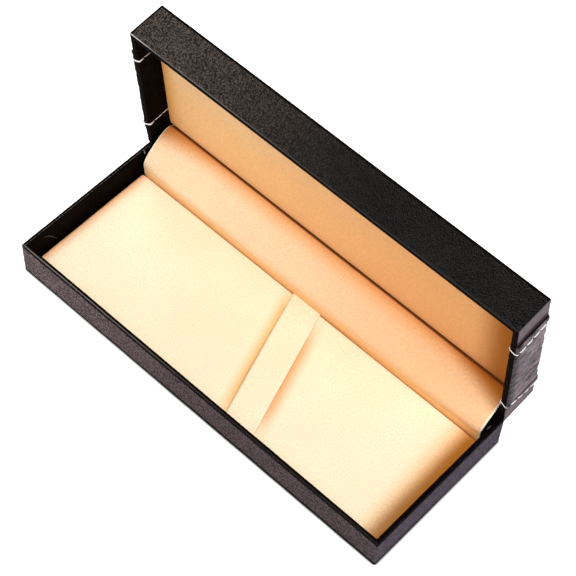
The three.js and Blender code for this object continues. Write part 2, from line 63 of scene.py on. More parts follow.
WALL, LID_WALL, LID_OVERHANG = 2.0, 2.4, 0.4
LID_X, LID_Y = HALF_X + LID_OVERHANG, HALF_Y + LID_OVERHANG
INNER_X, INNER_Y = HALF_X - WALL, HALF_Y - WALL
LID_RIM, LID_TOP = BASE_H + RIM_GAP, BASE_H + RIM_GAP + LID_H
AXIS_Y, AXIS_Z = HALF_Y - 0.4, BASE_H + 1.2
OPEN = math.radians(84.5)
INSERT_TOP, FLOOR = 6.0, 2.05
INSERT_X, INSERT_FRONT, INSERT_REAR = INNER_X - 1.4, 0.75 - INNER_Y, HALF_Y - 8.45
LINING_Z, LINING_REAR = LID_RIM + 9.3, HALF_Y - 4.15
FRONT_STRIP, REAR_STRIP = 11.2, 13.1
FRONT_SEAM, REAR_SEAM = FRONT_STRIP - LID_Y, LID_Y - REAR_STRIP

# The lid's leather: thickness and top of the part turned in, bends at the rim and the top, corners
TURN_THICK, TURN_TOP = 0.2, LINING_Z + 1.4
RIM_INNER, RIM_OUTER, TOP_ROUND, CORNER = 0.36, 0.42, 1.1, 0.7
# How far the band stands out, and how far behind its folded edge the stitches run
BAND_OUT, STITCH = 0.45, 1.75
# Sewn leather makes the lid larger than its board: lower at the rim, higher in front, and longer
RIM_GROWTH, FRONT_GROWTH, LENGTH_GROWTH = 0.21, 0.05, 1.001
CORNER_STEPS, TUBE_SIDES = 5, 8


# Noise, the same at each run
def hashed(ix, iy, iz, seed):
    n = (ix * 374761393 + iy * 668265263 + iz * 1274126177 + seed * 974711) & 0x7FFFFFFF
    n = ((n ^ (n >> 13)) * 1274126177) & 0x7FFFFFFF
    return ((n ^ (n >> 16)) & 0xFFFF) / 32767.5 - 1


def noise(p, size, seed, stretch=(1, 1, 1)):
    q = np.asarray(p, float) / (np.array(stretch, float) * size)
    cell = np.floor(q).astype(np.int64)
    f = q - cell
    f = f * f * (3 - 2 * f)
    total = 0
    for dx in (0, 1):
        for dy in (0, 1):
            for dz in (0, 1):
                w = (f[..., 0] if dx else 1 - f[..., 0]) * (f[..., 1] if dy else 1 - f[..., 1])
                w = w * (f[..., 2] if dz else 1 - f[..., 2])
                total = total + w * hashed(cell[..., 0] + dx, cell[..., 1] + dy, cell[..., 2] + dz, seed)
    return total


def smooth(a, b, x):
    t = np.clip((np.asarray(x, float) - a) / (b - a), 0, 1)
    return t * t * (3 - 2 * t)


# The lid's turn on its hinges
def turned(p, angle):
    p = np.asarray(p, float)
    u, v = p[..., 1] - AXIS_Y, p[..., 2] - AXIS_Z
    c, s = math.cos(angle), math.sin(angle)
    return np.stack([p[..., 0], AXIS_Y + u * c + v * s, AXIS_Z - u * s + v * c], -1)


def open_lid(p):
    return turned(p, OPEN)


def shut_lid(p):
    return turned(p, -OPEN)


def grown(p):
    p = np.array(p, float)
    z = p[..., 2]
    rise = np.interp(z, [LID_RIM + 0.5, LID_RIM + 3, LID_TOP - 4, LID_TOP], [-RIM_GROWTH, 0, 0, 1])
    front = smooth(20, -34, p[..., 1]) * FRONT_GROWTH
    p[..., 2] += rise * np.where(z > LID_TOP - 4, front, 1)
    p[..., 0] *= LENGTH_GROWTH
    return p


# Meshes
def turn_outward(data):
    """All faces of a piece point out of it."""
    shape = bmesh.new()
    shape.from_mesh(data)
    bmesh.ops.recalc_face_normals(shape, faces=shape.faces)
    shape.to_mesh(data)
    shape.free()


def mesh(name, verts, faces, material, body, replaces=()):
    data = bpy.data.meshes.new(name)
    data.from_pydata([tuple(float(c) * 0.001 for c in v) for v in verts], [], faces)
    data.validate()
    turn_outward(data)
    data.polygons.foreach_set("use_smooth", [True] * len(data.polygons))
    data.materials.append(material)
    obj = bpy.data.objects.new(name, data)
    bpy.context.scene.collection.objects.link(obj)
    if body:
        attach(obj, body)
    if replaces:
        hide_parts(*replaces)
    return obj


def trimmed(obj, lid):
    """Rims and inner faces get the duller leather, and the rim's front edge, where the leather is stretched over it, a
    smoother one with a painted highlight. Painted shade: black lines of the dull leather along the base's bottom,
    below its rim and along the lid's top front edge, and the darker lid leather in the dip of the base's left rim.
    """
    for material in (TURN_IN, EDGE_HIGHLIGHT, LEATHER):
        obj.data.materials.append(material)
    dull, highlighted_rim, dark = 1, 2, 3
    centre = np.zeros(len(obj.data.polygons) * 3)
    obj.data.polygons.foreach_get("center", centre)
    centre = centre.reshape(-1, 3) * 1000
    if lid:
        centre = shut_lid(centre)
    x, y, z = centre.T
    depth = z - LID_RIM if lid else BASE_H - z
    dx, dy = (LID_X if lid else HALF_X) - np.abs(x), (LID_Y if lid else HALF_Y) - np.abs(y)
    d = np.minimum(dx, dy)
    front = (y < 0) & (dy < dx + 0.3)
    kind = np.zeros(len(d), int)
    kind[(d > 0.28) & (depth < LID_H - 1.5)] = dull
    if lid:
        # Painted shade: black lines of the dull leather along the lid's top front edge and its front left corner edge
        top_edge = front & (depth > LID_H - 1.0) & (dy < 0.35)
        left_corner = (x < 0) & (y < 0) & (dx < 0.9) & (dy < 0.5)
        kind[(depth < 0) & (d > 0.1) & ~front] = dull
        kind[top_edge | left_corner] = dull
        # Painted highlight: a line of the lighter edge leather along the rim's front edge
        kind[(depth < 0.0) & (d > 0.1) & (d < 0.5) & front] = highlighted_rim
    else:
        # Painted shade: the top of the outer faces, just below the rim, gets the dull leather as a black line
        kind[(depth < 1.05) & (d < 0.2)] = dull
        # Painted highlight: a line of the lighter edge leather along the rim's front edge
        kind[(depth < 0.2) & (d > 0.4) & (d < 0.85) & front] = highlighted_rim
        # Painted shade: the dip in the rim of the left end wall gets the darker lid leather
        kind[(depth < 0.2) & (d > 0.9) & (d < 1.25) & (x < 0) & (dx < dy)] = dark
        # Painted shade: a black line of the dull leather along the foot of the walls, taller towards the front right,
        # where the box meets the floor
        kind[z < 1.35 + 0.6 * smooth(-70, 30, x) * (y < 0)] = dull
    obj.data.polygons.foreach_set("material_index", [int(k) for k in kind])
    return obj


def sheet_faces(rows, cols, close_cols=False):
    faces = []
    for i in range(rows - 1):
        for j in range(cols if close_cols else cols - 1):
            k = (j + 1) % cols
            faces.append((i * cols + j, i * cols + k, (i + 1) * cols + k, (i + 1) * cols + j))
    return faces


def arc(cx, cy, r, a0, a1, n=6):
    return [(cx + r * math.cos(math.radians(a)), cy + r * math.sin(math.radians(a)))
            for a in np.linspace(a0, a1, n + 1)]


def resample(line, step):
    out = [line[0]]
    for a, b in zip(line[:-1], line[1:]):
        n = max(1, int(round(math.dist(a, b) / step)))
        out += [tuple(np.array(a) + (np.array(b) - np.array(a)) * k / n) for k in range(1, n + 1)]
    return out


def rounded_rect(hx, y0, y1, r, nx, ny):
    pts = []
    corners = [(hx - r, y0 + r, -90), (hx - r, y1 - r, 0), (r - hx, y1 - r, 90), (r - hx, y0 + r, 180)]
    for k, (cx, cy, a) in enumerate(corners):
        pts += arc(cx, cy, r, a, a + 90, CORNER_STEPS)
        last = pts[-1]
        next_x, next_y, next_a = corners[(k + 1) % 4]
        end = arc(next_x, next_y, r, next_a, next_a, 0)[0]
        n = ny if k % 2 == 0 else nx
        pts += [(last[0] + (end[0] - last[0]) * t, last[1] + (end[1] - last[1]) * t)
                for t in np.arange(1, n) / n]
    return np.array(pts)


def ring_sweep(profile, hx, y0, y1, radius, nx, ny):
    """Rings of points, one for each distance inward and height in the profile."""
    rings = []
    for d, z in profile:
        r = max(radius - d, 0.12)
        r = min(r, max(min(hx - d, (y1 - y0) / 2 - d) * 0.98, 1e-4))
        flat = rounded_rect(hx - d, y0 + d, y1 - d, r, nx, ny)
        rings.append(np.column_stack([flat, np.full(len(flat), z)]))
    return np.array(rings)


def spline(points, count):
    pts = np.array(points, float)
    seg = np.sqrt(np.maximum(np.linalg.norm(np.diff(pts, axis=0), axis=1), 1e-6))
    t = np.concatenate([[0], np.cumsum(seg)])
    m = np.gradient(pts, t, axis=0)
    fine = []
    for k in range(len(pts) - 1):
        h = t[k + 1] - t[k]
        for s in np.linspace(0, 1, 40, endpoint=False):
            a, b = 2 * s ** 3 - 3 * s ** 2 + 1, s ** 3 - 2 * s ** 2 + s
            c, d = -2 * s ** 3 + 3 * s ** 2, s ** 3 - s ** 2
            fine.append(a * pts[k] + b * h * m[k] + c * pts[k + 1] + d * h * m[k + 1])
    fine = np.array(fine + [pts[-1]])
    run = run_of(fine)
    want = np.linspace(0, run[-1], count)
    return np.column_stack([np.interp(want, run, fine[:, i]) for i in range(fine.shape[1])])


def run_of(line):
    return np.concatenate([[0], np.cumsum(np.linalg.norm(np.diff(line, axis=0), axis=1))])


def line_normals(line):
    run = np.gradient(line, axis=0)
    run /= np.linalg.norm(run, axis=1)[:, None]
    return np.column_stack([run[:, 1], -run[:, 0]])


def thick_strip(upper, lower):
    """Points and faces of a strip with two sides, closed at both of its edges."""
    ring = np.concatenate([upper, lower[:, ::-1]], 1)
    rows, cols = ring.shape[:2]
    faces = sheet_faces(rows, cols, close_cols=True)
    for first in (0, (rows - 1) * cols):
        faces += [(first + j, first + j + 1, first + cols - 2 - j, first + cols - 1 - j) for j in range(cols // 2 - 1)]
    return ring.reshape(-1, 3), faces


def tube(points, radius):
    pts = np.array(points, float)
    run = np.gradient(pts, axis=0)
    run /= np.maximum(np.linalg.norm(run, axis=1), 1e-9)[:, None]
    a = np.cross(run, np.array([0, 1.0, 0]))
    bad = np.linalg.norm(a, axis=1) < 0.2
    a[bad] = np.cross(run[bad], np.array([1.0, 0, 0]))
    a /= np.linalg.norm(a, axis=1)[:, None]
    b = np.cross(run, a)
    turn = np.linspace(0, 2 * math.pi, TUBE_SIDES, endpoint=False)[None, :, None]
    ring = pts[:, None] + radius[:, None, None] * (a[:, None] * np.cos(turn) + b[:, None] * np.sin(turn))
    faces = sheet_faces(len(pts), TUBE_SIDES, close_cols=True)
    end = (len(pts) - 1) * TUBE_SIDES
    faces += [tuple(range(TUBE_SIDES))[::-1], tuple(range(end, end + TUBE_SIDES))]
    return ring.reshape(-1, 3), faces


def tubes(lengths):
    """Points and faces of several lengths of tube, each given as its points and its radii."""
    verts, faces = [], []
    for points, radius in lengths:
        ring, more = tube(points, radius)
        faces += [tuple(i + len(verts) for i in face) for face in more]
        verts += list(ring)
    return np.array(verts), faces


# Materials
def nodes_of(name, rough):
    mat = bpy.data.materials.new(name)
    mat.use_nodes = True
    tree = mat.node_tree
    shader = tree.nodes["Principled BSDF"]
    shader.inputs["Roughness"].default_value = rough
    coord = tree.nodes.new("ShaderNodeTexCoord")
    return mat, tree, shader, coord.outputs["Object"]


def add(tree, kind, inputs=(), **settings):
    node = tree.nodes.new(kind)
    for key, value in settings.items():
        setattr(node, key, value)
    for key, value in dict(inputs).items():
        if isinstance(value, bpy.types.NodeSocket):
            tree.links.new(value, node.inputs[key])
        else:
            node.inputs[key].default_value = value
    return node


def ramp(tree, fac, stops):
    node = add(tree, "ShaderNodeValToRGB", {"Fac": fac})
    for element, (pos, colour) in zip(node.color_ramp.elements, stops):
        element.position = pos
        element.color = (*colour, 1)
    return node.outputs["Color"]


def times(tree, colour, value, start, end, low, high):
    """The colour made darker or lighter by a value that runs from start to end."""
    share = add(tree, "ShaderNodeMapRange", {"Value": value, 1: start, 2: end, 3: low, 4: high})
    return add(tree, "ShaderNodeMix", {0: 1.0, 6: colour, 7: share.outputs[0]}, data_type="RGBA",
               blend_type="MULTIPLY").outputs[2]


def shaded(tree, coord, colour, bands):
    """Painted light and shade: leather is painted paler where light falls on it or is reflected, darker along a seam
    and the rim, and cloth deeper beside walls, seams, folds and the ribbon, where shade falls.

    A band is an amount, a colour and one or more directions. Each has the millimetres along it between
    which the colour comes in, and may have those between which it goes out again.
    """
    axes = add(tree, "ShaderNodeSeparateXYZ", {0: coord})
    for amount, deep, *lines in bands:
        share = None
        for way, steps in lines:
            along = add(tree, "ShaderNodeMath", {0: axes.outputs[0], 1: way[0]}, operation="MULTIPLY").outputs[0]
            for k in (1, 2):
                along = add(tree, "ShaderNodeMath", {0: axes.outputs[k], 1: way[k], 2: along},
                            operation="MULTIPLY_ADD").outputs[0]
            for start, end, low, high in ((*steps[:2], 0.0, 1.0), (*steps[2:], 1.0, 0.0))[:len(steps) // 2]:
                part = add(tree, "ShaderNodeMapRange", {"Value": along, 1: start * 0.001, 2: end * 0.001, 3: low,
                                                        4: high}, interpolation_type="SMOOTHSTEP").outputs[0]
                share = add(tree, "ShaderNodeMath", {0: part, 1: amount if share is None else share},
                            operation="MULTIPLY").outputs[0]
        colour = add(tree, "ShaderNodeMix", {0: share, 6: colour, 7: (*deep, 1)}, data_type="RGBA").outputs[2]
    return colour


def leather(name, dark, light, depth, rough, ior, grain=0.95, wrinkle=0.0, painted_light=(), ends=(), pits=None,
            sheen=0.0, sheen_tint=(1, 1, 1)):
    """Pebble grain. Bands of painted light lie under the darker pits of the grain; the bands in ends lie over them:
    painted light on the lid's end walls, painted shade along the band's fold and the rim.
    """
    mat, tree, shader, coord = nodes_of(name, rough)
    warp = add(tree, "ShaderNodeTexNoise", {"Vector": coord, "Scale": 500.0, "Detail": 2.0})
    moved = add(tree, "ShaderNodeMix", {0: 0.0006, 6: coord, 7: warp.outputs["Color"]}, data_type="RGBA",
                blend_type="ADD")
    cells = add(tree, "ShaderNodeTexVoronoi", {"Vector": moved.outputs[2], "Scale": 1000.0 / grain,
                                               "Smoothness": 0.4}, feature="SMOOTH_F1")
    fine = add(tree, "ShaderNodeTexNoise", {"Vector": coord, "Scale": 1700.0, "Detail": 2.0})
    broad = add(tree, "ShaderNodeTexNoise", {"Vector": coord, "Scale": 60.0, "Detail": 3.0})
    height = add(tree, "ShaderNodeMath", {0: fine.outputs["Fac"], 1: -1.1, 2: cells.outputs["Distance"]},
                 operation="MULTIPLY_ADD")
    total = add(tree, "ShaderNodeMath", {0: broad.outputs["Fac"], 1: wrinkle, 2: height.outputs[0]},
                operation="MULTIPLY_ADD")
    bump = add(tree, "ShaderNodeBump", {"Height": total.outputs[0], "Strength": depth, "Distance": 0.0006})
    bump.invert = True
    colour = ramp(tree, broad.outputs["Fac"], [(0.3, dark), (0.7, light)])
    colour = shaded(tree, coord, colour, painted_light)
    if pits:
        patches = add(tree, "ShaderNodeTexNoise", {"Vector": coord, "Scale": 260.0, "Detail": 3.0,
                                                   "Distortion": 0.5})
        dents = add(tree, "ShaderNodeMath", {0: patches.outputs["Fac"], 1: -0.14, 2: height.outputs[0]},
                    operation="MULTIPLY_ADD")
        colour = times(tree, colour, dents.outputs[0], -0.45, 0.0, *pits)
    # Painted light and shade over the grain: paler end walls of the lid, dark bands along a fold and the rim
    colour = shaded(tree, coord, colour, ends)
    # Painted light and shade: streaks of lighter and darker colour, like the light on folded leather; they don't
    # follow the bumped folds
    if wrinkle:
        drawn = add(tree, "ShaderNodeMapping", {"Vector": coord, "Scale": (0.4, 0.45, 1.0)})
        folds = add(tree, "ShaderNodeTexNoise", {"Vector": drawn.outputs[0], "Scale": 200.0, "Detail": 5.0,
                                                 "Distortion": 1.6})
        colour = times(tree, colour, folds.outputs["Fac"], 0.36, 0.64, 0.0, 2.1)
    tree.links.new(colour, shader.inputs["Base Color"])
    tree.links.new(bump.outputs["Normal"], shader.inputs["Normal"])
    shine = add(tree, "ShaderNodeMapRange", {"Value": cells.outputs["Distance"], 1: 0.0, 2: 0.8,
                                             3: rough - 0.08, 4: rough + 0.14})
    tree.links.new(shine.outputs[0], shader.inputs["Roughness"])
    shader.inputs["IOR"].default_value = ior
    shader.inputs["Sheen Weight"].default_value = sheen
    shader.inputs["Sheen Roughness"].default_value = 0.3
    shader.inputs["Sheen Tint"].default_value = (*sheen_tint, 1)
    return mat


def flannel(name, deep, pale, nap=0.25, rough=0.95, sheen=0.15, bands=()):
    mat, tree, shader, coord = nodes_of(name, rough)
    broad = add(tree, "ShaderNodeTexNoise", {"Vector": coord, "Scale": 55.0, "Detail": 5.0, "Roughness": 0.6})
    fine = add(tree, "ShaderNodeTexNoise", {"Vector": coord, "Scale": 1500.0, "Detail": 3.0})
    mixed = add(tree, "ShaderNodeMath", {0: fine.outputs["Fac"], 1: 0.35, 2: broad.outputs["Fac"]},
                operation="MULTIPLY_ADD")
    colour = shaded(tree, coord, ramp(tree, mixed.outputs[0], [(0.5, deep), (0.85, pale)]), bands)
    colour = times(tree, colour, fine.outputs["Fac"], 0.35, 0.65, 0.91, 1.05)
    tree.links.new(colour, shader.inputs["Base Color"])
    bump = add(tree, "ShaderNodeBump", {"Height": fine.outputs["Fac"], "Strength": nap, "Distance": 0.0002})
    tree.links.new(bump.outputs["Normal"], shader.inputs["Normal"])
    shader.inputs["Sheen Weight"].default_value = sheen
    shader.inputs["Sheen Roughness"].default_value = 0.5
    shader.inputs["Specular IOR Level"].default_value = 0.2
    return mat


def plain(name, dark, light, rough, scale=300.0, metallic=0.0, bump_depth=0.1):
    mat, tree, shader, coord = nodes_of(name, rough)
    spots = add(tree, "ShaderNodeTexNoise", {"Vector": coord, "Scale": scale, "Detail": 4.0})
    tree.links.new(ramp(tree, spots.outputs["Fac"], [(0.35, dark), (0.65, light)]), shader.inputs["Base Color"])
    bump = add(tree, "ShaderNodeBump", {"Height": spots.outputs["Fac"], "Strength": bump_depth,
                                        "Distance": 0.0002})
    tree.links.new(bump.outputs["Normal"], shader.inputs["Normal"])
    shader.inputs["Metallic"].default_value = metallic
    return mat


RIGHT, LEFT, BACK, FRONT, UP, DOWN = (1, 0, 0), (-1, 0, 0), (0, 1, 0), (0, -1, 0), (0, 0, 1), (0, 0, -1)
# Painted light: leather is paler towards the left end, where a lamp's light is reflected
PAINTED_LIGHT_TO_LEFT = (LEFT, (-25, 90))
ACROSS_RIBBON = (1, 0.312, 0)
ALONG_LID_FOLD, FROM_LID_RIM = (0, 0.15, -0.987), (0, -0.995, -0.096)
ROSE, VIOLET = (1.0, 0.28, 0.4), (1.0, 0.3, 0.6)
# Painted highlight on the flap's cut ends
PAINTED_EDGE_HIGHLIGHT = (0.95, 0.86, 0.64)


def painted_light_on_lid_ends(colour):
    """Painted light: both end walls of the lid have this paler colour, for the light they reflect."""
    return [(1.0, colour, (way, (87.6, 87.8))) for way in (RIGHT, LEFT)]


# The lid's black leather. Painted light: paler to the left and on both end walls. Painted shadow: near black in front
# of the band's folded edge.
LEATHER = leather(
    "black_leather", (0.0028, 0.0021, 0.0017), (0.0052, 0.004, 0.0033), depth=0.6, rough=0.33, ior=1.25,
    grain=0.6, pits=(2.1, 0.2), sheen=0.09, sheen_tint=ROSE, painted_light=[(1.0, (0.058, 0.044, 0.035), PAINTED_LIGHT_TO_LEFT)],
    ends=painted_light_on_lid_ends((0.13, 0.105, 0.12)) + [
        (0.98, (0.002, 0.0018, 0.002), (ALONG_LID_FOLD, (-71.9, -71.2, -60, -55)))])
# The base's black leather, given a lighter mauve colour as painted reflection; painted light too: paler to the left,
# and bluish on the right end wall
BASE_LEATHER_PAINTED_REFLECTION = leather(
    "base_leather", (0.045, 0.028, 0.03), (0.068, 0.045, 0.046), depth=0.6, rough=0.38, ior=1.16, grain=0.8,
    pits=(1.7, 0.3), sheen=0.07, sheen_tint=VIOLET, painted_light=[
        (1.0, (0.13, 0.09, 0.089), PAINTED_LIGHT_TO_LEFT), (0.7, (0.068, 0.061, 0.092), (RIGHT, (87.1, 87.3)))])
TURN_IN = leather(
    "turned_in_leather", (0.0022, 0.0012, 0.0009), (0.0042, 0.0024, 0.0018), depth=0.3, rough=0.5, ior=1.06)
# Smoother leather along the rim's front edge, with a painted highlight in its colour: paler to the left, light grey
# near the left end
EDGE_HIGHLIGHT = leather(
    "edge_leather_highlight", (0.007, 0.006, 0.0055), (0.009, 0.008, 0.0075), depth=0.1, rough=0.32, ior=1.3, painted_light=[
        (1.0, (0.13, 0.115, 0.105), PAINTED_LIGHT_TO_LEFT), (1.0, (0.5, 0.47, 0.45), (LEFT, (74, 86)), (UP, (20, 30)))])
# The band's leather. Painted light: paler on both end walls. Painted shade: near black just above the rim. Painted
# streaks of light and shade on its folds.
BAND = leather(
    "band_leather", (0.003, 0.0026, 0.0024), (0.0055, 0.0047, 0.0044), depth=0.45, rough=0.34, ior=1.38,
    wrinkle=2.0, sheen=0.07, sheen_tint=VIOLET,
    ends=painted_light_on_lid_ends((0.12, 0.088, 0.1)) + [(0.92, (0.003, 0.003, 0.005), (FROM_LID_RIM, (-37.4, -35.2)))])
# Painted shade on the insert: deeper in colour beside the right wall, beside the left wall and on both sides of the
# ribbon. Painted highlight: paler along its front edge.
INSERT = flannel("insert_flannel", (0.93, 0.785, 0.55), (0.95, 0.82, 0.59), bands=[
    (1.0, (0.95, 0.6, 0.31), ((1, 0.05, 0), (70, 79))),
    (1.0, (0.66, 0.24, 0.02), ((1, 0.05, 0), (75.6, 83.4))),
    (0.95, (0.91, 0.46, 0.21), (LEFT, (79.5, 84))),
    (0.9, (0.98, 0.95, 0.87), (FRONT, (30.1, 30.5))),
    (1.0, (0.93, 0.43, 0.19), (ACROSS_RIBBON, (7, 12, 15.8, 22)), (BACK, (-33, -14, 8, 27))),
    (1.0, (0.95, 0.5, 0.17), (ACROSS_RIBBON, (-3.2, 3, 6, 9)), (BACK, (-38, -20, 16, 32)))])
# Painted light and shade on the lining: paler towards the top, darker towards the right, with painted shade at its
# right end, along its rear edge and at its left end
LINING = flannel("lining_flannel", (0.93, 0.52, 0.215), (0.95, 0.56, 0.24), sheen=0.1, bands=[
    (0.7, (0.94, 0.64, 0.36), (UP, (42, 68))),
    (0.8, (0.87, 0.39, 0.125), (RIGHT, (-65, 60))),
    (1.0, (0.45, 0.13, 0.0), (RIGHT, (63, 78))),
    (1.0, (0.4, 0.1, 0.0), (DOWN, (-23.1, -22.1))),
    (0.6, (0.92, 0.36, 0.05), (LEFT, (77, 84.5)))])
# Painted light and shade on the flap: darker towards the right, on its lower part, in a line near the insert, towards
# the lining, at both top corners and dark in the crease at the lining. Painted highlights on its cut ends.
FLAP = flannel("flap_flannel", (0.94, 0.66, 0.42), (0.96, 0.7, 0.45), sheen=0.06, bands=[
    (0.9, (0.88, 0.5, 0.26), (RIGHT, (-80, 60))),
    (0.8, (0.96, 0.5, 0.16), (DOWN, (-13, -7))),
    (0.45, (0.8, 0.36, 0.1), ((-0.07, 0, 1), (3.4, 4.9, 5.2, 6.8))),
    (0.7, (0.82, 0.36, 0.1), (BACK, (32.5, 40))),
    (0.9, (0.64, 0.23, 0.04), ((-0.25, 1, 0), (49.5, 60))),
    (0.95, (0.48, 0.14, 0.01), ((0.28, 1, 0), (52.8, 60))),
    (1.0, (0.24, 0.06, 0.0), (BACK, (39.8, 40.7))),
    (0.9, PAINTED_EDGE_HIGHLIGHT, (RIGHT, (82.9, 83.5))),
    (0.9, PAINTED_EDGE_HIGHLIGHT, (LEFT, (82.9, 83.5)))])
RIBBON = flannel("ribbon_weave", (0.93, 0.765, 0.525), (0.95, 0.805, 0.575), nap=0.1, rough=0.7, sheen=0.1)
THREAD = plain("sewing_thread", (0.82, 0.78, 0.74), (0.92, 0.9, 0.86), 0.6, 2500.0)
# Painted highlights: the light grey of the crease lines on the base's leather
CREASE_GLINT = plain("crease_glint", (0.09, 0.085, 0.085), (0.16, 0.15, 0.15), 0.4, 900.0)
BOARD = plain("greyboard", (0.24, 0.2, 0.16), (0.32, 0.28, 0.22), 0.95)
PAPER = plain("black_paper", (0.006, 0.006, 0.006), (0.011, 0.011, 0.011), 0.75)
STEEL = plain("plated_steel", (0.45, 0.46, 0.48), (0.56, 0.57, 0.59), 0.32, 900.0, 1.0, 0.05)
FOAM = plain("foam_sheet", (0.6, 0.58, 0.52), (0.72, 0.7, 0.64), 1.0)

BY_SLOT = {"black_leather": LEATHER, "band_leather": BAND, "greyboard": BOARD, "black_paper": PAPER,
           "cream_flannel": INSERT, "cream_ribbon": RIBBON, "foam": FOAM, "plated_steel": STEEL}
for part in frame["record"]["subparts"]:
    node = frame["nodes"][part["node"]]
    node.data.materials.clear()
    node.data.materials.append(BY_SLOT[part["material_slot"]])


# Base leather: one profile taken round the tray, from under the floor over the rim to the floor inside
def base_leather():
    corner, along, across = 0.4, 150, 58
    outer = [(8.0, 0.42), (1.6, 0.42), (1.3, 0.12), (0.4, 0.06)] + arc(0.4, 0.46, 0.4, 270, 180)[1:]
    outer += [(0, z) for z in (0.7, 0.9, 1.1, 1.3, 1.5, 1.7, 1.9, 2.1)]
    rim = arc(0.3, BASE_H - 0.3, 0.3, 180, 90)
    rim += [(d, BASE_H - z) for d, z in ((0.6, 0), (0.74, 0.05), (0.9, 0.1), (1.08, 0.1), (1.25, 0.08), (1.5, 0.03))]
    inner = arc(WALL - 0.3, BASE_H - 0.35, 0.3, 90, 0) + [(WALL, FLOOR)]
    profile = resample(outer[:2], 1.0)[:-1] + outer[1:] + resample([outer[-1], rim[0]], 0.8)[1:-1]
    profile += rim + inner[:-1] + resample([inner[-2], inner[-1]], 0.8)[1:]
    p = ring_sweep(profile, HALF_X, -HALF_Y, HALF_Y, corner, along, across)
    d = np.array([q[0] for q in profile])[:, None]
    p[..., 1] -= np.where(p[..., 1] < 0, 0.2, 0) * smooth(0.6, 1.3, d) * (np.abs(p[..., 0]) < INNER_X + 0.1)
    out = np.zeros_like(p)
    out[..., 0] = np.sign(p[..., 0]) * smooth(HALF_X - 3, HALF_X - 1, np.abs(p[..., 0]))
    out[..., 1] = np.sign(p[..., 1]) * smooth(HALF_Y - 3, HALF_Y - 1, np.abs(p[..., 1]))
    wave = noise(p, 9, 3) * 0.05 + noise(p, 2.6, 4) * 0.02
    p = p + out * (wave - 0.05)[..., None]
    p[..., 2] += np.where(p[..., 2] > BASE_H - 0.6, noise(p, 7, 8) * 0.03 - 0.03, 0)
    faces = sheet_faces(p.shape[0], p.shape[1], close_cols=True)
    obj = mesh("base_leather", p.reshape(-1, 3), faces, BASE_LEATHER_PAINTED_REFLECTION, "base", ("base_cover",))
    return trimmed(obj, False)


# Small creases where the base's leather is folded in at the corners, raised lines in a light grey that is a painted
# highlight
def creases():
    right = [(85.4, 26.2, 15.85), (85.45, 27.8, 15.75), (85.48, 29.7, 14.8), (85.48, 31.7, 13.2)]
    left = [(-85.5, -25.4, 13.2), (-85.5, -22.7, 12.1), (-85.5, -18.2, 6.0)]
    rim_near = [(-86.4, 28.2, 15.7), (-85.6, 28.0, 15.7), (-84.6, 27.3, 15.7)]
    rim_far = [(-85.7, 30.2, 15.7), (-85.7, 30.7, 15.7), (-85.5, 31.1, 15.7)]
    count = 14
    taper = 1 - 0.8 * np.abs(np.linspace(-1, 1, count)) ** 3
    lines = ((right, 0.18), (left, 0.09), (rim_near, 0.32), (rim_far, 0.3))
    verts, faces = tubes([(spline(points, count), radius * taper) for points, radius in lines])
    return mesh("corner_creases", verts, faces, CREASE_GLINT, "base")


# Insert and lining: a panel with rounded edges, in rings from its lower edge to the middle of its face
def panel(hx, y0, y1, z, drop, radius, crown, up):
    half = (y1 - y0) / 2
    edge = [(0.0, -drop)] + arc(radius, -radius, radius, 180, 90)
    inset = [radius + (half - radius - 0.02) * t for t in (0.02, 0.06, 0.12, 0.2, 0.3, 0.42, 0.56, 0.7, 0.84, 1)]
    profile = resample(edge[:2], 1.0)[:-1] + edge[1:] + [(d, 0.0) for d in inset]
    p = ring_sweep(profile, hx, y0, y1, radius + 0.4, 120, 44)
    d = np.array([q[0] for q in profile])[:, None]
    p[..., 2] += crown * smooth(radius, half * 0.6, d) * np.ones_like(p[..., 2])
    p[..., 2] = z + up * p[..., 2]
    return p


def closed_panel(name, p, material, body, replaces):
    rows, cols = p.shape[:2]
    faces = sheet_faces(rows, cols, close_cols=True)
    faces.append(tuple(range(cols))[::-1])
    faces.append(tuple(range((rows - 1) * cols, rows * cols)))
    return mesh(name, p.reshape(-1, 3), faces, material, body, replaces)


def insert_panel():
    p = panel(INSERT_X, INSERT_FRONT, INSERT_REAR, INSERT_TOP, drop=3.6, radius=0.9, crown=0.0, up=1)
    p[..., 2] += noise(p, 22, 11) * 0.05
    return closed_panel("insert_flannel", p, INSERT, "base", ("insert_cover",))


def lining_panel():
    p = panel(INNER_X - 0.2, 0.2 - INNER_Y, LINING_REAR, LINING_Z, drop=4.2, radius=0.8, crown=0.15, up=-1)
    p[..., 2] += noise(p, 18, 12) * 0.08
    return closed_panel("lid_lining", open_lid(p), LINING, "lid", ("lid_lining_cover",))


# Flap: a thick strip bent over the hinges, from beside the insert to behind the lining
FLAP_LINE = [(25.8, 2.6), (25.7, 4.3), (25.62, 6.0), (25.42, 9.0), (25.5, 12.6), (27.4, 15.7), (30.6, 18.5),
             (34.5, 21.2), (37.8, 22.6), (39.9, 22.5)]
FLAP_THICK, FLAP_HALF = 0.9, INNER_X - 1.7


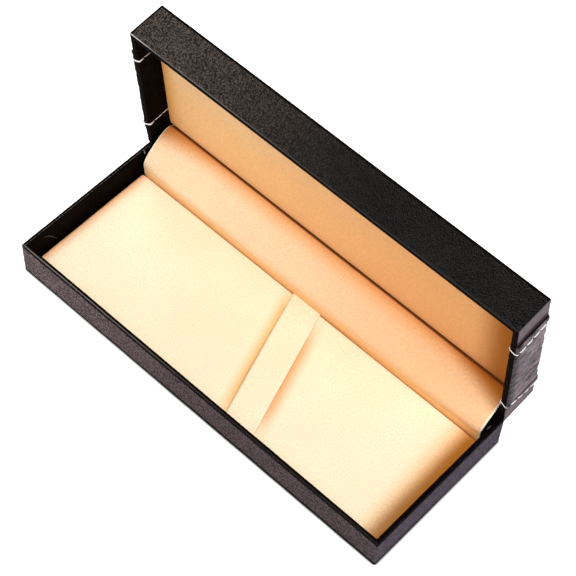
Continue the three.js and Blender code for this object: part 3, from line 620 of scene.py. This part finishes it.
def flap():
    tuck = [tuple(open_lid((0, LINING_REAR + 0.25, LINING_Z + d))[1:]) for d in (0.1, 1.4, 3.0)]
    line = spline(FLAP_LINE + tuck, 70)
    normal = -line_normals(line)
    end = np.array([0, 0.12, 0.4, 1.0])
    xs = np.concatenate([end - FLAP_HALF, np.linspace(2 - FLAP_HALF, FLAP_HALF - 2, 110), FLAP_HALF - end[::-1]])
    rounding = np.interp(FLAP_HALF - np.abs(xs), [0, 0.12, 0.4], [0.35, 0.12, 0])
    share = np.linspace(0, 1, len(line))
    face = np.zeros((len(xs), len(line), 3))
    back = np.zeros_like(face)
    for i, x in enumerate(xs):
        p = np.column_stack([np.full(len(line), x), line])
        lift = noise(p, 26, 21) * 0.25 * np.sin(np.pi * share) + noise(p, 7, 22) * 0.04
        for out, target in ((lift - rounding[i], face), (lift - FLAP_THICK + rounding[i] * 0.3, back)):
            target[i, :, 0] = x
            target[i, :, 1:] = line + normal * out[:, None]
    verts, faces = thick_strip(face, back)
    return mesh("hinge_flap", verts, faces, FLAP, None, ("flap_cover", "flap_card"))


# Ribbon across the insert, tucked in at its front and rear edges
RIBBON_WIDTH, RIBBON_THICK, RIBBON_ARCH, RIBBON_BOW = 12.9, 0.28, 0.5, 0.05
RIBBON_FRONT_X, RIBBON_REAR_X = 19.1, 1.2


def ribbon():
    front, rear = INSERT_FRONT - 0.3, INSERT_REAR + 0.35
    top = INSERT_TOP + 0.03
    share = np.linspace(0, 1, 60)
    arch = RIBBON_ARCH * np.sin(np.pi * share) ** 0.7
    line = [(front, 3.0), (front, 4.4), (front, top - 0.5)]
    line += [(front + 0.3 + (rear - front - 0.6) * t, top + a) for t, a in zip(share, arch)]
    line += [(rear, top - 0.5), (rear, 4.4), (rear, 3.0)]
    line = spline(line, 120)
    normal = -line_normals(line)
    slope = (RIBBON_REAR_X - RIBBON_FRONT_X) / (rear - front)
    slant = math.cos(math.atan(slope))
    middle = RIBBON_FRONT_X + slope * (line[:, 0] - front)
    bow = RIBBON_BOW * np.sin(np.pi * np.linspace(0, 1, len(line)))
    offsets = np.linspace(-0.5, 0.5, 15)
    upper = np.zeros((len(offsets), len(line), 3))
    lower = np.zeros_like(upper)
    for i, s in enumerate(offsets):
        lift = bow * (1 - (2 * s) ** 2)
        for height, target in ((lift + RIBBON_THICK / 2, upper), (lift - RIBBON_THICK / 2, lower)):
            target[i, :, 0] = middle + s * RIBBON_WIDTH / slant
            target[i, :, 1:] = line + normal * height[:, None]
    verts, faces = thick_strip(upper, lower)
    obj = mesh("pen_ribbon", verts, faces, RIBBON, "base", ("pen_strap",))
    return obj


# Lid leather
def wrap_line(step):
    """The line taken over the shut lid, from the inside of one end wall to the inside of the other."""
    inner = LID_X - LID_WALL - TURN_THICK
    right = [(inner, TURN_TOP), (inner, LID_RIM + RIM_INNER)]
    right += arc(inner + RIM_INNER, LID_RIM + RIM_INNER, RIM_INNER, 180, 270)
    right += arc(LID_X - RIM_OUTER, LID_RIM + RIM_OUTER, RIM_OUTER, 270, 360)
    right += arc(LID_X - TOP_ROUND, LID_TOP - TOP_ROUND, TOP_ROUND, 0, 90, 8)
    line = resample(right, step)
    mid = resample([line[-1], (-line[-1][0], line[-1][1])], step)[1:-1]
    left = [(-x, z) for x, z in reversed(line)]
    return np.array(line + mid + left)


def inner_share(line):
    """Sewn leather is thin round the rim and inside it, less so at the outside of the left end."""
    x, z = line.T
    rim = smooth(0.35, 0.0, z - LID_RIM - 0.1)
    inside = smooth(LID_X - 0.6, LID_X - 1.2, np.abs(x)) * (z < LID_TOP - 3)
    left = x < 0.1 - LID_X
    return 1 - 0.9 * (rim + inside).clip(0, 1) * (1 - 0.65 * left)


def over_lid(name, stations, material, replaces=(), wrinkles=None):
    """Leather over the top and round both ends. A station is a y on the shut lid and how far out it lies."""
    line = wrap_line(0.7)
    normals = line_normals(line)
    share = inner_share(line)
    p = np.zeros((len(stations), len(line), 3))
    for i, (y, out) in enumerate(stations):
        off = out * share
        p[i, :, 0] = line[:, 0] + normals[:, 0] * off
        p[i, :, 1] = y
        p[i, :, 2] = line[:, 1] + normals[:, 1] * off
    if wrinkles:
        bulge = wrinkles(p) * share
        p[..., 0] += normals[None, :, 0] * bulge
        p[..., 2] += normals[None, :, 1] * bulge
    faces = sheet_faces(len(stations), len(line))
    return trimmed(mesh(name, open_lid(grown(p)).reshape(-1, 3), faces, material, "lid", replaces), True)


def hem(y, base, field):
    """Stations of a folded edge at y, which rises from base to a crest, dips at the stitches and joins field."""
    crest = field + 0.38
    return [(y + 1.4, base), (y + 0.5, base), (y + 0.12, base + 0.04), (y - 0.1, base + 0.25),
            (y - 0.16, (base + crest) / 2), (y - 0.1, crest - 0.3), (y + 0.12, crest - 0.08), (y + 0.5, crest + 0.02),
            (y + 0.9, crest), (y + 1.25, crest - 0.12), (y + STITCH, field - 0.02), (y + 2.3, field + 0.06),
            (y + 2.8, field + 0.03), (y + 3.4, field)]


def band_wrinkles(p):
    q = p.copy()
    q[..., 0] += noise(p, 9, 41) * 3
    q[..., 1] += noise(p, 8, 42) * 3
    q[..., 2] += noise(p, 9, 43) * 3
    folds = 1 - np.abs(noise(q, 3.1, 44, (2.6, 1, 2.2)))
    fine = 1 - np.abs(noise(q, 1.5, 45, (2, 1, 1.7)))
    edge = smooth(FRONT_SEAM + 1.9, FRONT_SEAM + 5, p[..., 1]) * smooth(REAR_SEAM + 0.5, REAR_SEAM - 2.5, p[..., 1])
    return (0.5 * (folds - 0.75) + 0.12 * (fine - 0.7)) * (0.25 + 0.75 * edge)


def lid_band():
    stations = hem(FRONT_SEAM, 0.05, BAND_OUT)
    stations += [(y, BAND_OUT) for y in np.arange(FRONT_SEAM + 4.0, REAR_SEAM + 0.6, 0.6)]
    stations += [(REAR_SEAM + 1.2, 0.25), (REAR_SEAM + 1.8, 0.1)]
    return over_lid("lid_band_leather", stations, BAND, ("lid_centre_band",), band_wrinkles)


def rear_lap():
    stations = hem(REAR_SEAM, BAND_OUT + 0.05, BAND_OUT + 0.1)
    stations += [(REAR_SEAM + y, out) for y, out in ((4.2, 0.35), (5.0, 0.2), (6.0, 0.1), (7.5, 0.02), (8.5, -0.1))]
    return over_lid("lid_rear_lap", stations, LEATHER)


def corner_strip(name, seam, side, replaces):
    """Leather round one long wall, with a part of the top and of both end walls. side is -1 in front, 1 behind."""
    wall, round_top, to_seam = LID_WALL + TURN_THICK, 0.35, 14
    inner = [(wall, TURN_TOP), (wall, LID_RIM + RIM_INNER)]
    rim = arc(wall - RIM_INNER, LID_RIM + RIM_INNER, RIM_INNER, 0, -90) + [(d, LID_RIM) for d in (1.75, 1.2, 0.8, 0.5)]
    rim += arc(RIM_OUTER, LID_RIM + RIM_OUTER, RIM_OUTER, 270, 180)
    top = arc(round_top, LID_TOP - round_top, round_top, 180, 90)
    reach = abs(side * LID_Y - seam)
    profile = resample(inner, 0.9)[:-1] + rim + resample([rim[-1], (0, top[0][1] - 0.7)], 0.8)[1:] + top
    profile += resample([top[-1], (reach - 0.02, LID_TOP)], 0.8)[1:]
    rows = []
    for d, z in profile:
        x, y = LID_X - d, LID_Y - d
        ends = min(max(CORNER - d, 0.12), abs(side * y - seam) * 0.98)
        lead = [(x, seam + (side * (y - ends) - seam) * t) for t in np.linspace(0, 1, to_seam)]
        bend = [(x - ends + ends * math.cos(a), side * (y - ends + ends * math.sin(a)))
                for a in np.linspace(0, math.pi / 2, 6)][1:]
        across = np.concatenate([[x - ends - 0.25], np.linspace(x - ends - 1.1, ends + 1.1 - x, 198),
                                 [ends + 0.25 - x]])
        path = lead + bend + [(t, side * y) for t in across]
        path += [(-a, b) for a, b in reversed(bend)] + [(-a, b) for a, b in reversed(lead)]
        rows.append([(a, b, z) for a, b in path])
    p = np.array(rows)
    wave = noise(p, 8, 51) * 0.045 + noise(p, 2.4, 52) * 0.02 - 0.05
    near = smooth(1.6, 0.6, LID_Y - np.abs(p[..., 1])) * (np.abs(p[..., 0]) < LID_X - 0.5)
    p[..., 1] += np.sign(p[..., 1]) * near * wave
    p[..., 0] += np.sign(p[..., 0]) * smooth(1.6, 0.6, LID_X - np.abs(p[..., 0])) * wave
    if side < 0:
        deep = smooth(1.5, 2.0, LID_Y - np.abs(p[..., 1])) * (np.abs(p[..., 0]) < LID_X - LID_WALL - 0.1)
        p[..., 1] += 0.3 * deep * smooth(LINING_Z - 1, LINING_Z - 4, p[..., 2]) * (p[..., 2] < LINING_Z)
    faces = sheet_faces(p.shape[0], p.shape[1])
    p = open_lid(grown(p)).reshape(-1, 3)
    return trimmed(mesh(name, p, faces, LEATHER, "lid", replaces), True)


# Stitches: short rounded lengths of thread along the line over the lid
STITCH_GAP, STITCH_STEP = 0.6, 3.3


def stitches(name, out, places):
    """places are the row's y at: the lining, the inner edge of the rim, its outer edge, above it, and the top."""
    line = wrap_line(0.25)
    normals = line_normals(line)
    share = inner_share(line)
    run = run_of(line)
    rim_in = TURN_TOP - LID_RIM
    rim_out = rim_in + 2.2
    marks = [0, rim_in, rim_out, rim_in + 3.6, rim_in + 2.2 + LID_H]
    half = [(0.5, 4.1), (4.5, rim_in - 2.6), (rim_in - 2.2, rim_out + 0.9)]
    k = 0
    while half[-1][1] + 0.7 < run[-1] / 2:
        half.append((half[-1][1] + STITCH_GAP, half[-1][1] + STITCH_STEP + 0.15 * math.sin(k * 7.3)))
        k += 1
    lengths = []
    e = np.linspace(0, 1, 24)
    t = np.abs(2 * e - 1)
    for k, (a, b) in enumerate(half + [(run[-1] - b, run[-1] - a) for a, b in half]):
        s = a + (b - a) * e
        from_end = np.minimum(s, run[-1] - s)
        rim = smooth(0.5, 0.1, np.interp(s, run, line[:, 1]) - LID_RIM) * smooth(rim_in - 0.6, rim_in, from_end)
        off = np.interp(s, run, out * share) + 0.25 - 0.22 * rim - 0.25 * t ** 8
        x = np.interp(s, run, line[:, 0]) + np.interp(s, run, normals[:, 0]) * off
        z = np.interp(s, run, line[:, 1]) + np.interp(s, run, normals[:, 1]) * off
        wobble = 0.1 * math.sin(k * 12.9898) * (2 * e - 1) + 0.05 * math.sin(k * 4.1)
        y = np.interp(from_end, marks, places) + wobble
        radius = (0.3 if from_end[0] > rim_out else 0.17) * (1 - 0.35 * t ** 3)
        lengths.append((np.column_stack([x, y, z]), radius))
    verts, faces = tubes(lengths)
    return mesh(name, open_lid(grown(verts)), faces, THREAD, "lid")


base_leather()
creases()
insert_panel()
lining = lining_panel()
flap_piece = flap()
ribbon()
lid_band()
corner_strip("lid_front_leather", FRONT_SEAM + 1.2, -1, ("lid_front_strip",))
corner_strip("lid_rear_leather", REAR_SEAM + 3.0, 1, ("lid_rear_strip",))
rear_lap()
stitches("stitches_front", BAND_OUT, (-19.2, -19.3, -18.2, -18.4, FRONT_SEAM + 2.3))
stitches("stitches_rear", BAND_OUT + 0.1, (20.3, 20.6, 22.3, 20.8, REAR_SEAM + 2.2))
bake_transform(flap_piece)


# Floor, lights and camera, in metres
FLOOR_HALF, CONTACT_REACH, FLOOR_GLOW = 3.0, 0.0013, 0.78
PALE, SHADOW = (0.8, 0.8, 0.8, 1), (0.1, 0.1, 0.1, 1)


def floor():
    """White to the camera, with a narrow shadow where the box rests, and pale grey to every other ray."""
    data = bpy.data.meshes.new("studio_floor")
    s = FLOOR_HALF
    data.from_pydata([(-s, -s, 0), (s, -s, 0), (s, s, 0), (-s, s, 0)], [], [(0, 1, 2, 3)])
    obj = bpy.data.objects.new("studio_floor", data)
    bpy.context.scene.collection.objects.link(obj)
    mat = bpy.data.materials.new("studio_floor")
    mat.use_nodes = True
    tree = mat.node_tree
    tree.nodes.clear()
    out = tree.nodes.new("ShaderNodeOutputMaterial")
    diffuse = add(tree, "ShaderNodeBsdfDiffuse", {"Color": PALE})
    near = add(tree, "ShaderNodeAmbientOcclusion", {"Distance": CONTACT_REACH})
    contact = add(tree, "ShaderNodeMapRange", {"Value": near.outputs["AO"], 1: 0.45, 2: 0.95}).outputs[0]
    tone = add(tree, "ShaderNodeMix", {0: contact, 6: SHADOW, 7: PALE}, data_type="RGBA").outputs[2]
    soft = add(tree, "ShaderNodeBsdfDiffuse", {"Color": tone})
    strength = add(tree, "ShaderNodeMath", {0: contact, 1: FLOOR_GLOW}, operation="MULTIPLY").outputs[0]
    glow = add(tree, "ShaderNodeEmission", {"Color": (1, 1, 1, 1), "Strength": strength})
    both = add(tree, "ShaderNodeAddShader", {0: soft.outputs[0], 1: glow.outputs[0]})
    path = tree.nodes.new("ShaderNodeLightPath")
    mix = add(tree, "ShaderNodeMixShader", {0: path.outputs["Is Camera Ray"], 1: diffuse.outputs[0],
                                            2: both.outputs[0]})
    tree.links.new(mix.outputs[0], out.inputs["Surface"])
    data.materials.append(mat)


LAMP_TARGET = (0, 0, 0.02)
LAMPS = (("right_high", (0.5, 0, 0.58), 0.25, 2.9),
         ("right_low", (0.5, -0.25, 0.42), 0.25, 1.2),
         ("left_high", (-0.2, -0.2, 0.66), 0.25, 2.6),
         ("front_low", (-0.12, -0.56, 0.15), 0.25, 1.15),
         ("left_back", (-0.28, 0.17, 0.32), 0.1, 0.3))
WORLD_STRENGTH = 0.06


def lamp(name, place, size, energy):
    light = bpy.data.lights.new(name, "AREA")
    light.shape = "RECTANGLE"
    light.size = light.size_y = size
    light.energy = energy
    obj = bpy.data.objects.new(name, light)
    bpy.context.scene.collection.objects.link(obj)
    z = np.array(place) - np.array(LAMP_TARGET)
    z = z / np.linalg.norm(z)
    x = np.cross([0, 0, 1], z)
    x = x / np.linalg.norm(x)
    m = np.eye(4)
    m[:3, 0], m[:3, 1], m[:3, 2], m[:3, 3] = x, np.cross(z, x), z, place
    obj.matrix_world = Matrix(m.tolist())


def world():
    scene_world = bpy.data.worlds.new("studio")
    bpy.context.scene.world = scene_world
    scene_world.use_nodes = True
    background = scene_world.node_tree.nodes["Background"]
    background.inputs["Color"].default_value = (1, 1, 1, 1)
    background.inputs["Strength"].default_value = WORLD_STRENGTH


# Solved from the straight edges of base and lid: place in metres, turn in degrees about x, y and z
CAMERA_PLACE, CAMERA_TURN = (0.23078, -0.262022, 0.585876), (30.936246, -2.025202, 42.8885)
LENS, SENSOR, FRAME_PIXELS, SHIFT_PIXELS = 116.408, 36, 576, 60


def camera():
    data = bpy.data.cameras.new("camera")
    data.sensor_width = SENSOR
    data.lens = LENS
    data.shift_y = SHIFT_PIXELS / FRAME_PIXELS
    data.clip_start, data.clip_end = 0.01, 20
    obj = bpy.data.objects.new("camera", data)
    bpy.context.scene.collection.objects.link(obj)
    turn = Euler([math.radians(a) for a in CAMERA_TURN])
    obj.matrix_world = Matrix.LocRotScale(CAMERA_PLACE, turn, None)
    bpy.context.scene.camera = obj


floor()
world()
for entry in LAMPS:
    lamp(*entry)
camera()
bpy.context.scene.view_settings.view_transform = "Standard"
